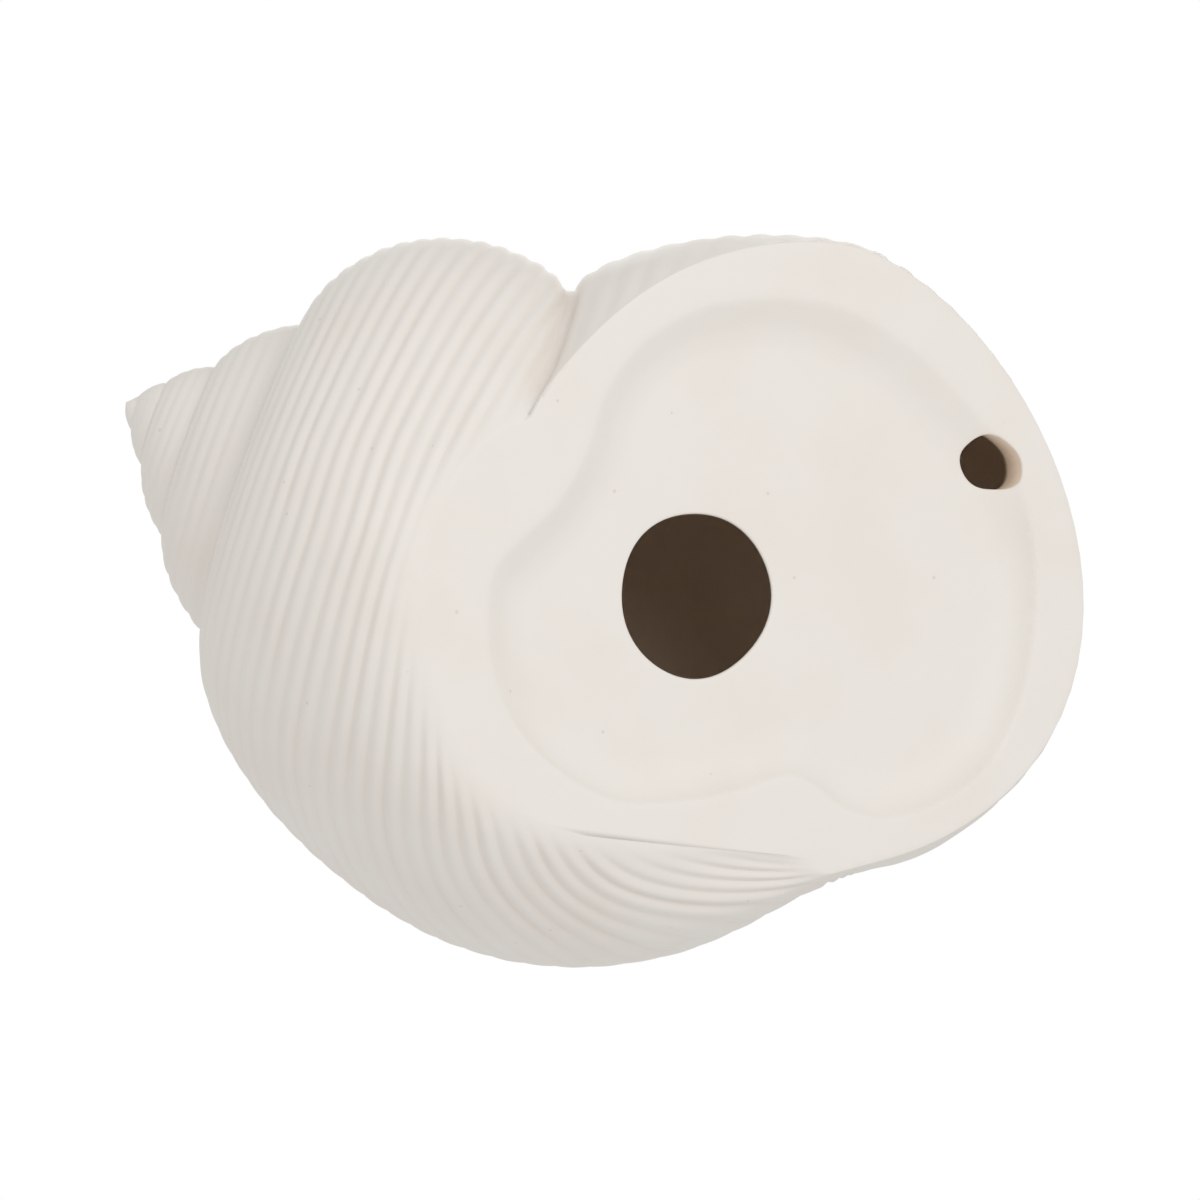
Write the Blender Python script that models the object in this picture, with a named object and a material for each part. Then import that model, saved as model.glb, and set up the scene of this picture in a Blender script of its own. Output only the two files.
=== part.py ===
"""Hollow cast ceramic ornament in the form of a bonnet shell, standing on its flat foot.

One piece: a ribbed spiral body, cut flat where the mouth would be, with a sunken foot panel,
a round casting hole and a small vent hole that both open into the hollow inside.
Lengths below are in millimetres and are turned to metres where the meshes are made.
"""

import bmesh
import bpy
import numpy as np

MILLIMETRE = 0.001

# spiral axis: it runs from the apex down to the base
APEX = np.array([-103.1, -47.7, 112.7])
AXIS_PITCH = np.radians(29.4)
AXIS_YAW = np.radians(28.8)
TURN_ZERO_ROLL = np.radians(11.8)

# growth of the whorl, one row for each station along the spiral, counted in turns:
# suture height, rib spacing, how many ribs reach the pole, height and radius of the widest
# point, squareness of the shoulder, and for the base how far the curve runs along the axis,
# out from the pole, and back from it
GROWTH_NAMES = ("turn", "suture", "pitch", "ribs", "peak_height", "peak_radius", "square",
                "along", "out", "back")
GROWTH = (
    (-5.00, 0.5, 1.2, 34.0, 3.4, 2.4, 1.30, 20, 19, 0),
    (-4.00, 3.1, 2.0, 34.0, 7.4, 8.4, 1.30, 20, 19, 0),
    (-3.00, 7.7, 3.2, 34.0, 18.0, 17.3, 1.40, 30, 19, 0),
    (-2.00, 16.8, 4.3, 34.0, 36.0, 36.5, 1.50, 36, 19, 0),
    (-1.50, 23.5, 4.9, 34.0, 49.5, 44.2, 1.50, 36, 19, 0),
    (-1.25, 27.0, 5.1, 34.0, 63.6, 56.4, 1.70, 36, 19, 0),
    (-1.00, 31.4, 5.0, 34.0, 73.2, 72.2, 2.00, 41, 19, 0),
    (-0.75, 37.5, 4.5, 34.0, 104.0, 80.0, 2.00, 32, 12, 14),
    (-0.62, 41.2, 5.0, 32.0, 117.0, 83.5, 1.95, 26, 10, 18),
    (-0.50, 45.5, 6.2, 28.0, 121.4, 84.5, 1.76, 40, 36, 0),
    (-0.37, 58.0, 6.5, 28.0, 131.0, 89.0, 1.80, 48, 58, 0),
    (-0.25, 71.0, 6.6, 33.0, 139.0, 96.0, 1.75, 52, 79, 0),
    (-0.12, 80.5, 7.0, 34.0, 145.0, 102.0, 1.60, 50, 96, 0),
    (0.00, 86.7, 7.4, 34.0, 149.0, 108.5, 1.44, 48, 102, 0),
    (0.07, 92.5, 7.7, 34.0, 150.0, 114.0, 1.40, 48, 102, 0),
    (0.14, 97.5, 7.9, 34.0, 150.0, 119.0, 1.28, 48, 102, 0),
    (0.25, 101.5, 8.1, 34.0, 152.0, 136.0, 1.20, 48, 102, 0),
)
FIRST_TURN = -4.75
LAST_TURN = 0.25
START_RADIUS = (0.9, 3.8)

# anterior pole, where the ribs close round the siphonal notch, just below the foot plane
POLE = np.array([37.1, 63.7, -2.9])
POLE_TILT = np.radians(46.0)
POLE_FORWARD_TURN = -0.03

# swelling where the base runs into the foot's broad edge, towards the base side
SWELL_CENTRE = (-38.2, 53.2)
SWELL_RADII = (35.0, 16.5)
SWELL_TURN = 0.16
SWELL_DEPTH = 5.3
SWELL_HEIGHT = 14.0

# tuck above the notch, on the base side: centre and radii along X and Z, and the Y it starts at
TUCK_CENTRE = (47.0, 42.0)
TUCK_RADII = (15.0, 28.0)
TUCK_START = 57.0
TUCK_RAMP = 10.0
TUCK_DEPTH = 5.5

# ribs: at the station's own spacing as far as the even span, then shared out so that the
# station's number of them reaches the pole, and the others run into it; they are faint on the
# spire and die out where the foot is ground flat
RIBS = 34
EVEN_SPAN = 145.0
SPAN_BLEND = 0.9
RIB_RELIEF = 0.42
SMOOTH_UNTIL_TURN = -4.0
FULL_RELIEF_TURN = -1.1
FOOT_FADE = 3.0

# foot: a flat rim round a sunken panel; the outline of the panel's edge, anticlockwise from
# the left end, seen from above
WALL = 5.0
PANEL_DEPTH = 6.0
PANEL_EDGE = (
    (-59.0, 4.7), (-57.2, -7.3), (-50.3, -14.6), (-39.8, -24.2), (-32.5, -36.2), (-27.8, -49.4),
    (-18.5, -61.4), (-3.9, -69.8), (13.3, -72.7), (33.2, -71.0), (51.7, -62.1), (67.6, -48.2),
    (80.0, -33.8), (86.1, -13.4), (85.6, 11.8), (79.5, 31.0), (68.9, 44.2), (50.4, 52.1),
    (37.2, 50.7), (28.2, 44.7), (20.7, 42.2), (9.2, 45.2), (-5.3, 48.1), (-23.8, 48.5),
    (-39.7, 41.1), (-51.6, 29.8), (-57.4, 17.8),
)
PANEL_SLOPE = ((-1.5, -1.5), (1.0, 1.6), (4.6, 7.2), (6.0, 11.5))
CASTING_HOLE_CENTRE = (-0.8, -1.3)
CASTING_HOLE_RADIUS = 19.8
VENT_HOLE_CENTRE = (75.8, -33.0)
VENT_HOLE_RADII = (7.5, 6.0)
VENT_HOLE_TURN = np.radians(37.0)
HOLE_TOP = 24.0

# hollow: how far along the axis it reaches, and the steps its profiles are read at
HOLLOW_REACH = (27.0, 202.0)
HOLLOW_RINGS = 17
HOLLOW_STEP = 1.25

# mesh fineness
COLUMNS = 44
PROFILE_SAMPLES = 120
SLIVER = 0.35


def through_stations(turn, name):
    """Monotone cubic curve through the growth stations of one quantity."""
    turns = np.array([row[0] for row in GROWTH])
    values = np.array([row[GROWTH_NAMES.index(name)] for row in GROWTH], dtype=float)
    gap = np.diff(turns)
    rise = np.diff(values) / gap
    slope = np.zeros_like(values)
    slope[0], slope[-1] = rise[0], rise[-1]
    before, after = 2 * gap[1:] + gap[:-1], gap[1:] + 2 * gap[:-1]
    same_way = rise[:-1] * rise[1:] > 0
    safe = np.where(same_way, rise[:-1], 1.0), np.where(same_way, rise[1:], 1.0)
    mean = (before + after) / (before / safe[0] + after / safe[1])
    slope[1:-1] = np.where(same_way, mean, 0.0)
    i = np.clip(np.searchsorted(turns, turn) - 1, 0, len(gap) - 1)
    t = (turn - turns[i]) / gap[i]
    start = (1 + 2 * t) * (1 - t) ** 2 * values[i] + t * (1 - t) ** 2 * gap[i] * slope[i]
    end = t * t * (3 - 2 * t) * values[i + 1] - t * t * (1 - t) * gap[i] * slope[i + 1]
    return start + end


def axis_frame():
    """Unit vectors of the spiral: along the axis, towards turn zero, and a quarter turn on."""
    cp, sp, cy, sy = np.cos(AXIS_PITCH), np.sin(AXIS_PITCH), np.cos(AXIS_YAW), np.sin(AXIS_YAW)
    along = np.array([cp * cy, cp * sy, -sp])
    level = np.array([sy, -cy, 0.0])
    under = np.array([-sp * cy, -sp * sy, -cp])
    cr, sr = np.cos(TURN_ZERO_ROLL), np.sin(TURN_ZERO_ROLL)
    return along, cr * level + sr * under, cr * under - sr * level


def whorl_profile(turn, suture):
    """Smooth profile of the whorl at each turn: suture, shoulder, widest point, base, pole.

    The shoulder is a superellipse quarter from the suture point to the widest point. The base
    is a cubic curve that leaves the widest point along the axis and closes on the pole.
    """
    along, zero, quarter = axis_frame()
    angle = 2 * np.pi * turn
    out = np.cos(angle)[:, None] * zero + np.sin(angle)[:, None] * quarter
    peak = (APEX + through_stations(turn, "peak_height")[:, None] * along
            + through_stations(turn, "peak_radius")[:, None] * out)
    power = (2 / through_stations(turn, "square"))[:, None, None]
    sweep = np.linspace(0, np.pi / 2, PROFILE_SAMPLES)[:, None]
    axial = ((peak - suture) @ along)[:, None] * along
    radial = peak - suture - axial
    fall = np.clip(np.cos(sweep), 0, 1) ** power
    climb = np.clip(np.sin(sweep), 0, 1) ** power
    shoulder = peak[:, None] - axial[:, None] * fall - radial[:, None] * (1 - climb)

    forward = 2 * np.pi * POLE_FORWARD_TURN
    ahead = np.cos(forward) * zero + np.sin(forward) * quarter
    share = (out @ ahead)[:, None]
    pole_out = out + share * ((np.cos(POLE_TILT) - 1) * ahead + np.sin(POLE_TILT) * along)
    handle = peak + through_stations(turn, "along")[:, None] * along
    pole_handle = (POLE + through_stations(turn, "out")[:, None] * pole_out
                   - through_stations(turn, "back")[:, None] * along)
    t = np.linspace(0, 1, PROFILE_SAMPLES + 1)[1:, None]
    base = ((1 - t) ** 3 * peak[:, None] + 3 * (1 - t) ** 2 * t * handle[:, None]
            + 3 * (1 - t) * t ** 2 * pole_handle[:, None] + t ** 3 * POLE)
    return tucked_by_notch(swollen_at_foot(np.concatenate([shoulder, base], axis=1)))


def swollen_at_foot(profile):
    """The profile drawn down near the swell's centre, and less so with height."""
    x, y = profile[..., 0] - SWELL_CENTRE[0], profile[..., 1] - SWELL_CENTRE[1]
    c, s = np.cos(SWELL_TURN), np.sin(SWELL_TURN)
    u, v = (c * x + s * y) / SWELL_RADII[0], (c * y - s * x) / SWELL_RADII[1]
    near = np.exp(-u ** 2 - v ** 2 - np.maximum(profile[..., 2], 0) / SWELL_HEIGHT)
    drawn_down = profile.copy()
    drawn_down[..., 2] -= SWELL_DEPTH * near
    return drawn_down


def tucked_by_notch(profile):
    """The profile drawn in on the base side near the tuck's centre."""
    x, z = profile[..., 0] - TUCK_CENTRE[0], profile[..., 2] - TUCK_CENTRE[1]
    side = np.clip((profile[..., 1] - TUCK_START) / TUCK_RAMP, 0, 1)
    near = np.exp(-(x / TUCK_RADII[0]) ** 2 - (z / TUCK_RADII[1]) ** 2)
    drawn_in = profile.copy()
    drawn_in[..., 1] -= TUCK_DEPTH * near * side * side * (3 - 2 * side)
    return drawn_in


def read_along(wanted, keys, values):
    """Values at the wanted keys, each profile read by linear interpolation in its own keys."""
    count, samples = keys.shape
    wanted = np.clip(wanted, keys[:, :1], keys[:, -1:])
    lift = (np.arange(count) * (keys.max() - keys.min() + 10.0))[:, None]
    place = np.arange(count * samples, dtype=float)
    at = np.interp((wanted + lift).ravel(), (keys + lift).ravel(), place)
    low = np.minimum(at.astype(int), count * samples - 2)
    part = (at - low)[:, None]
    flat = values.reshape(count * samples, -1)
    return ((1 - part) * flat[low] + part * flat[low + 1]).reshape(wanted.shape + (-1,))


def spiral_strip():
    """All whorls as one long strip: for each column the smooth profile, its arc length, and
    how far along it the next whorl's suture lies. A column one turn on starts at that suture.
    """
    along, zero, quarter = axis_frame()
    whorls = round(LAST_TURN - FIRST_TURN)
    step = np.arange(COLUMNS + 1) / COLUMNS
    turn = FIRST_TURN + step
    angle = 2 * np.pi * turn
    out = np.cos(angle)[:, None] * zero + np.sin(angle)[:, None] * quarter
    start = START_RADIUS[0] + (START_RADIUS[1] - START_RADIUS[0]) * step
    suture = APEX + through_stations(turn, "suture")[:, None] * along + start[:, None] * out
    turns, profiles, arcs, covers = [], [], [], []
    for whorl in range(whorls):
        profile = whorl_profile(turn, suture)
        hops = np.linalg.norm(np.diff(profile, axis=1), axis=2)
        arc = np.concatenate([np.zeros((len(turn), 1)), np.cumsum(hops, axis=1)], axis=1)
        height = np.maximum.accumulate((profile - APEX) @ along, axis=1)
        height = height + 1e-6 * np.arange(height.shape[1])
        next_turn = np.minimum(turn + 1, LAST_TURN)
        next_height = through_stations(next_turn, "suture")[:, None]
        cover = read_along(next_height, height, arc[..., None])[:, 0]
        cover[turn + 1 > LAST_TURN + 1e-9] = np.inf
        suture = read_along(next_height, height, profile)[:, 0]
        last = len(turn) if whorl == whorls - 1 else COLUMNS
        turns.append(turn[:last])
        profiles.append(profile[:last])
        arcs.append(arc[:last])
        covers.append(cover[:last])
        turn = turn + 1
    return (np.concatenate(turns), np.concatenate(profiles), np.concatenate(arcs),
            np.concatenate(covers)[:, 0])


def ribbed_rows():
    """Strip points with ribs, and which rows have run out under the next whorl.

    Rows lie on the crests and in the grooves. The ribs keep the station's spacing over the
    even span, and those beyond it share what is left of the profile.
    """
    turn, profile, arc, cover = spiral_strip()
    pitch = through_stations(turn, "pitch")[:, None]
    rib = np.arange(2 * RIBS + 1)[None, :] / 2
    whole = arc[:, -1:]
    even = EVEN_SPAN / pitch
    last = through_stations(turn, "ribs")[:, None]
    wider = np.maximum(whole - EVEN_SPAN, pitch) / np.maximum(last - even, 0.5) - pitch
    far = pitch * rib + wider * SPAN_BLEND * np.logaddexp(0, (rib - even) / SPAN_BLEND)
    far = np.minimum(far, whole)
    limit = cover[:, None]
    gone = (far > limit - SLIVER * pitch) & (rib > 0)
    far = np.where(gone, np.minimum(limit, whole), far)

    normal = np.cross(np.gradient(profile, axis=0), np.gradient(profile, axis=1))
    normal /= np.linalg.norm(normal, axis=2, keepdims=True) + 1e-12
    points = read_along(far, arc, profile)
    outward = read_along(far, arc, normal)
    outward /= np.linalg.norm(outward, axis=2, keepdims=True) + 1e-12
    fade = np.clip(far / pitch, 0, 1) * np.clip((limit - far) / pitch, 0, 1)
    fade = fade * np.clip((whole - far) / pitch, 0, 1)
    fade = fade * np.clip(points[..., 2] / FOOT_FADE, 0, 1)
    grown = (turn - SMOOTH_UNTIL_TURN) / (FULL_RELIEF_TURN - SMOOTH_UNTIL_TURN)
    relief = RIB_RELIEF * np.clip(grown, 0, 1)[:, None]
    crest = -np.cos(2 * np.pi * rib)
    return points + (relief * fade * crest)[..., None] * outward, gone


def mesh_object(name, points, faces):
    """New object from points in millimetres."""
    mesh = bpy.data.meshes.new(name)
    mesh.from_pydata((np.asarray(points) * MILLIMETRE).tolist(), [], faces)
    mesh.validate()
    shape = bpy.data.objects.new(name, mesh)
    bpy.context.scene.collection.objects.link(shape)
    return shape


def edit_mesh(shape, work):
    """Run work on the object's mesh as a bmesh."""
    bm = bmesh.new()
    bm.from_mesh(shape.data)
    work(bm)
    bm.to_mesh(shape.data)
    bm.free()


def close_and_cut(level):
    """Close the open loops, point the faces out and keep what is above the level."""
    def work(bm):
        open_edges = [edge for edge in bm.edges if edge.is_boundary]
        bmesh.ops.holes_fill(bm, edges=open_edges, sides=0)
        bmesh.ops.triangulate(bm, faces=[face for face in bm.faces if len(face.verts) > 4])
        bmesh.ops.recalc_face_normals(bm, faces=bm.faces)
        everything = bm.verts[:] + bm.edges[:] + bm.faces[:]
        bmesh.ops.bisect_plane(bm, geom=everything, plane_co=(0, 0, level * MILLIMETRE),
                               plane_no=(0, 0, -1), clear_outer=True)
        bmesh.ops.remove_doubles(bm, verts=bm.verts, dist=0.2 * MILLIMETRE)
        for vert in bm.verts:
            if abs(vert.co.z - level * MILLIMETRE) < 0.05 * MILLIMETRE:
                vert.co.z = level * MILLIMETRE
        open_edges = [edge for edge in bm.edges if edge.is_boundary]
        bmesh.ops.holes_fill(bm, edges=open_edges, sides=0)
        bmesh.ops.triangulate(bm, faces=bm.faces)
    return work


def shell_body():
    """Outside of the shell, solid, cut flat at the foot."""
    points, gone = ribbed_rows()
    columns, rows = gone.shape
    names = np.arange(columns * rows).reshape(columns, rows)
    covered = np.arange(columns - COLUMNS)
    start_of_next = names[covered + COLUMNS, 0][:, None]
    names[covered] = np.where(gone[covered], start_of_next, names[covered])
    at_pole = np.linalg.norm(points - POLE, axis=2) < 0.01
    names[at_pole] = names[-1, -1]
    corners = np.stack([names[:-1, :-1], names[1:, :-1], names[1:, 1:], names[:-1, 1:]], axis=2)
    faces = []
    for quad in corners.reshape(-1, 4).tolist():
        face = [v for i, v in enumerate(quad) if v != quad[i - 1]]
        if len(set(face)) == len(face) and len(face) > 2:
            faces.append(face)
    body = mesh_object("ceramic_shell", points.reshape(-1, 3), faces)
    edit_mesh(body, lambda bm: bmesh.ops.delete(
        bm, geom=[vert for vert in bm.verts if not vert.link_faces], context="VERTS"))
    edit_mesh(body, close_and_cut(0.0))
    return body


def closed_curve(points, count):
    """Smooth closed curve through the points, as a periodic Catmull-Rom spline."""
    points = np.asarray(points, dtype=float)
    place = np.arange(count) * len(points) / count
    i = place.astype(int)
    t = (place - i)[:, None]
    before, here, after, beyond = (points[(i + k) % len(points)] for k in (-1, 0, 1, 2))
    return 0.5 * (2 * here + (after - before) * t
                  + (2 * before - 5 * here + 4 * after - beyond) * t ** 2
                  + (3 * here - before - 3 * after + beyond) * t ** 3)


def inset(outline, distance):
    """The outline moved inwards by the distance, along its own normals."""
    tangent = np.roll(outline, -1, axis=0) - np.roll(outline, 1, axis=0)
    tangent /= np.linalg.norm(tangent, axis=1, keepdims=True)
    return outline + distance * np.stack([-tangent[:, 1], tangent[:, 0]], axis=1)


def lofted(name, rings):
    """Closed solid through rings of equal point counts, with flat ends."""
    count = len(rings[0])
    points = np.concatenate(rings)
    faces = [list(range(count))[::-1]]
    for ring in range(len(rings) - 1):
        low = ring * count
        for k in range(count):
            step = (k + 1) % count
            faces.append([low + k, low + step, low + count + step, low + count + k])
    faces.append(list(range(len(points) - count, len(points))))
    shape = mesh_object(name, points, faces)
    edit_mesh(shape, lambda bm: bmesh.ops.recalc_face_normals(bm, faces=bm.faces))
    return shape


def foot_recess():
    """Cutter for the sunken panel, with its soft sloping wall."""
    outline = closed_curve(PANEL_EDGE, 60)
    rings = []
    for height, distance in PANEL_SLOPE:
        ring = inset(outline, distance)
        rings.append(np.column_stack([ring, np.full(len(ring), height)]))
    return lofted("recess_cutter", rings)


def oval_hole(name, centre, radii, turned, sides):
    """Upright cutter for a hole through the foot panel."""
    angle = 2 * np.pi * np.arange(sides) / sides
    x, y = radii[0] * np.cos(angle), radii[1] * np.sin(angle)
    c, s = np.cos(turned), np.sin(turned)
    ring = np.column_stack([centre[0] + c * x - s * y, centre[1] + s * x + c * y])
    return lofted(name, [np.column_stack([ring, np.full(sides, z)]) for z in (-2.0, HOLE_TOP)])


def reach_of_whorls(column, heights):
    """Distance of the outside from the axis at the heights, on one side of the shell."""
    along, zero, quarter = axis_frame()
    turn, profile, arc, cover = spiral_strip()
    outside = []
    for k in range(column, len(turn), COLUMNS):
        offset = profile[k][arc[k] <= cover[k]] - APEX
        height = offset @ along
        radius = np.linalg.norm(offset - height[:, None] * along, axis=1)
        outside.append(np.column_stack([height, radius]))
    outside = np.concatenate(outside)
    outside = outside[np.argsort(outside[:, 0], kind="stable")]
    return np.interp(heights, outside[:, 0], outside[:, 1])


def hollow():
    """Cutter for the inside: the outside drawn in by the wall, above the foot panel.

    The wall is measured square to the surface: a ball of its thickness that rolls along each
    side of the shell marks out the inside.
    """
    along, zero, quarter = axis_frame()
    heights = np.arange(HOLLOW_REACH[0], HOLLOW_REACH[1], HOLLOW_STEP)
    chosen = np.linspace(0, len(heights) - 1, HOLLOW_RINGS).astype(int)
    columns = np.arange(0, COLUMNS, 2)
    inside = []
    for column in columns:
        outside = reach_of_whorls(column, heights)
        apart = heights[:, None] - heights[None, :]
        ball = np.where(np.abs(apart) < WALL, np.sqrt(np.clip(WALL ** 2 - apart ** 2, 0, None)), -500)
        drawn_in = np.min(outside[None, :] - ball, axis=1)
        window = np.abs(apart[chosen]) < 0.4 * (HOLLOW_REACH[1] - HOLLOW_REACH[0]) / HOLLOW_RINGS
        inside.append(np.min(np.where(window, drawn_in[None, :], 500), axis=1))
    inside = np.clip(np.array(inside), 2.5, None)
    angles = 2 * np.pi * (FIRST_TURN + columns / COLUMNS)
    out = np.cos(angles)[:, None] * zero + np.sin(angles)[:, None] * quarter
    rings = [APEX + heights[k] * along + inside[:, i:i + 1] * out for i, k in enumerate(chosen)]
    shape = lofted("hollow_cutter", rings)
    edit_mesh(shape, close_and_cut(PANEL_DEPTH + WALL))
    return shape


def cut_out(body, cutter):
    """Boolean difference by a cutter that stays hidden in renders."""
    cutter.hide_render = True
    cutter.display_type = "WIRE"
    cut = body.modifiers.new(cutter.name, "BOOLEAN")
    cut.operation = "DIFFERENCE"
    cut.solver = "EXACT"
    cut.object = cutter


def matte_ceramic():
    """Off-white matt glaze on cast earthenware."""
    material = bpy.data.materials.new("matte_white_ceramic")
    material.use_nodes = True
    shader = material.node_tree.nodes["Principled BSDF"]
    shader.inputs["Base Color"].default_value = (0.82, 0.79, 0.75, 1.0)
    shader.inputs["Roughness"].default_value = 0.55
    shader.inputs["Metallic"].default_value = 0.0
    return material


def main():
    for shape in list(bpy.data.objects):
        bpy.data.objects.remove(shape, do_unlink=True)
    body = shell_body()
    cut_out(body, foot_recess())
    cut_out(body, hollow())
    cut_out(body, oval_hole("casting_hole_cutter", CASTING_HOLE_CENTRE,
                            (CASTING_HOLE_RADIUS, CASTING_HOLE_RADIUS), 0.0, 40))
    cut_out(body, oval_hole("vent_hole_cutter", VENT_HOLE_CENTRE, VENT_HOLE_RADII,
                            VENT_HOLE_TURN, 24))
    body.data.materials.append(matte_ceramic())
    body.data.shade_smooth()
    body.data.set_sharp_from_angle(angle=np.radians(24.0))


main()
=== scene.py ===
"""Hollow cast ceramic ornament in the form of a bonnet shell, on a pale studio floor.

One piece stands for the CAD node: the ribbed outside, the flat foot rim with its sunken panel,
the casting hole, the vent hole and the raw clay inside. Lengths in the shape functions are
millimetres, and are turned to metres where the mesh is made.
"""

import bmesh
import bpy
import numpy as np
from mathutils import Matrix, Vector
from mathutils.geometry import delaunay_2d_cdt


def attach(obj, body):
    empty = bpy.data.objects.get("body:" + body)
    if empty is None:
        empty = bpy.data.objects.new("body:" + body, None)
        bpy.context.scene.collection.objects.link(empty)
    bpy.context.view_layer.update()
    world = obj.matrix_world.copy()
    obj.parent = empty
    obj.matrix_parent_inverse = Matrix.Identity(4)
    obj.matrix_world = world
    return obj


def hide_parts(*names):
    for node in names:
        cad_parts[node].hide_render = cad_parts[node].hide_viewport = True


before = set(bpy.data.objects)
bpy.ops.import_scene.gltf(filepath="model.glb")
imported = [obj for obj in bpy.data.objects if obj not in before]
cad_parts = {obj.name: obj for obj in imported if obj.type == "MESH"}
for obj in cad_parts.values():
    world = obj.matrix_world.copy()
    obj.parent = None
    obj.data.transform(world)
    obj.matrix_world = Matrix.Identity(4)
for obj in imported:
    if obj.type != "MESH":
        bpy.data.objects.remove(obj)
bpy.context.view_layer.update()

bl_info = {
    "name": "Bonnet Shell Ornament",
    "version": (1, 0, 0),
    "blender": (4, 5, 0),
    "location": "3D View > Sidebar > Bonnet Shell",
    "description": "Cast ceramic bonnet shell with spiral ribs, a sunken foot panel and a hollow",
    "category": "Add Mesh",
}

MILLIMETRE = 0.001

# spiral axis: it runs from the apex down to the base
APEX = np.array([-103.1, -47.7, 112.7])
AXIS_PITCH = np.radians(29.4)
AXIS_YAW = np.radians(28.8)
TURN_ZERO_ROLL = np.radians(11.8)

# growth of the whorl, one row for each station along the spiral, counted in turns:
# suture height, rib spacing, how many ribs reach the pole, height and radius of the widest
# point, squareness of the shoulder, and for the base how far the curve runs along the axis,
# out from the pole, and back from it
GROWTH_NAMES = ("turn", "suture", "pitch", "ribs", "peak_height", "peak_radius", "square",
                "along", "out", "back")
GROWTH = (
    (-5.00, 0.5, 1.2, 34.0, 3.4, 2.4, 1.30, 20, 19, 0),
    (-4.00, 3.1, 2.0, 34.0, 7.4, 8.4, 1.30, 20, 19, 0),
    (-3.00, 7.7, 3.2, 34.0, 18.0, 17.3, 1.40, 30, 19, 0),
    (-2.00, 16.8, 4.3, 34.0, 36.0, 36.5, 1.50, 36, 19, 0),
    (-1.50, 23.5, 4.9, 34.0, 49.5, 44.2, 1.50, 36, 19, 0),
    (-1.25, 27.0, 5.1, 34.0, 63.6, 56.4, 1.70, 36, 19, 0),
    (-1.00, 31.4, 5.0, 34.0, 73.2, 72.2, 2.00, 41, 19, 0),
    (-0.75, 37.5, 4.5, 34.0, 104.0, 80.0, 2.00, 32, 12, 14),
    (-0.62, 41.2, 5.0, 32.0, 117.0, 83.5, 1.95, 26, 10, 18),
    (-0.50, 45.5, 6.2, 28.0, 121.4, 84.5, 1.76, 40, 36, 0),
    (-0.37, 58.0, 6.5, 28.0, 131.0, 89.0, 1.80, 48, 58, 0),
    (-0.25, 71.0, 6.6, 33.0, 139.0, 96.0, 1.75, 52, 79, 0),
    (-0.12, 80.5, 7.0, 34.0, 145.0, 102.0, 1.60, 50, 96, 0),
    (0.00, 86.7, 7.4, 34.0, 149.0, 108.5, 1.44, 48, 102, 0),
    (0.07, 92.5, 7.7, 34.0, 150.0, 114.0, 1.40, 48, 102, 0),
    (0.14, 97.5, 7.9, 34.0, 150.0, 119.0, 1.28, 48, 102, 0),
    (0.25, 101.5, 8.1, 34.0, 152.0, 136.0, 1.20, 48, 102, 0),
)
WHORLS = 5
FIRST_TURN = -4.75
START_RADIUS = 0.9
START_WIDENING = 2.9

# anterior pole, where the ribs close round the siphonal notch, just below the foot plane
POLE = np.array([37.1, 63.7, -2.9])
POLE_TILT = np.radians(46.0)
POLE_FORWARD_TURN = -0.03

# swelling where the base runs into the foot's broad edge, towards the base side
SWELL_CENTRE = (-38.2, 53.2)
SWELL_RADII = (35.0, 16.5)
SWELL_TURN = 0.16
SWELL_DEPTH = 5.3
SWELL_HEIGHT = 14.0

# tuck above the notch, on the base side: centre and radii along X and Z, and the Y it starts at
TUCK_CENTRE = (47.0, 42.0)
TUCK_RADII = (15.0, 28.0)
TUCK_START = 57.0
TUCK_RAMP = 10.0
TUCK_DEPTH = 5.5

# ribs, shared out past the even span so that the station's number of them reaches the pole
RIBS = 34
EVEN_SPAN = 145.0
SPAN_BLEND = 0.9
SMOOTH_UNTIL_TURN = -4.0
FULL_RELIEF_TURN = -1.1
GROOVE_POWER = 1.5
# relief where the surface faces sideways or up, and how far down it must face for all of it
SIDE_RELIEF = 0.5
SQUARE_DOWN = 0.7
# slow waves in the relief: size, and how fast they run from rib to rib and round the axis
RIB_WAVES = ((0.22, 2.4, 3), (0.15, 1.3, -5))
# where the relief fades: height over the foot, and distance from the pole in rib spacings
FOOT_FADE = 4.0
POLE_FADE = 3.0
# rows along the foot's edge, by their height over the foot plane in roundings, and the least
# gap, in rows, between them and the ribs' last row
BAND_HEIGHTS = (1.0, 0.5, 0.0, -0.5, -1.0)
LEAST_GAP = 0.3

# soft edge of the foot on the apex and base sides: how flat the skin leaves the foot, on level
# and on steep skin, the height at which that has died out, and where along X and Y it gives way
# to the crisp edge
EASE = 10.0
EASE_LEVEL, EASE_STEEP, STEEPEST = 0.65, 0.85, 3.0
EASE_HEIGHT = 26.0
EASE_END_X, EASE_RAMP_X = 30.0, 46.0
EASE_START_Y, EASE_RAMP_Y = -42.0, 30.0

# crease along the last suture: how wide it is, the turns over which it deepens, and the height
# over the foot at which it is full
CREASE_REACH = 3.2
CREASE_START, CREASE_RAMP = -0.25, 0.3
CREASE_FADE = 5.0

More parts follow.
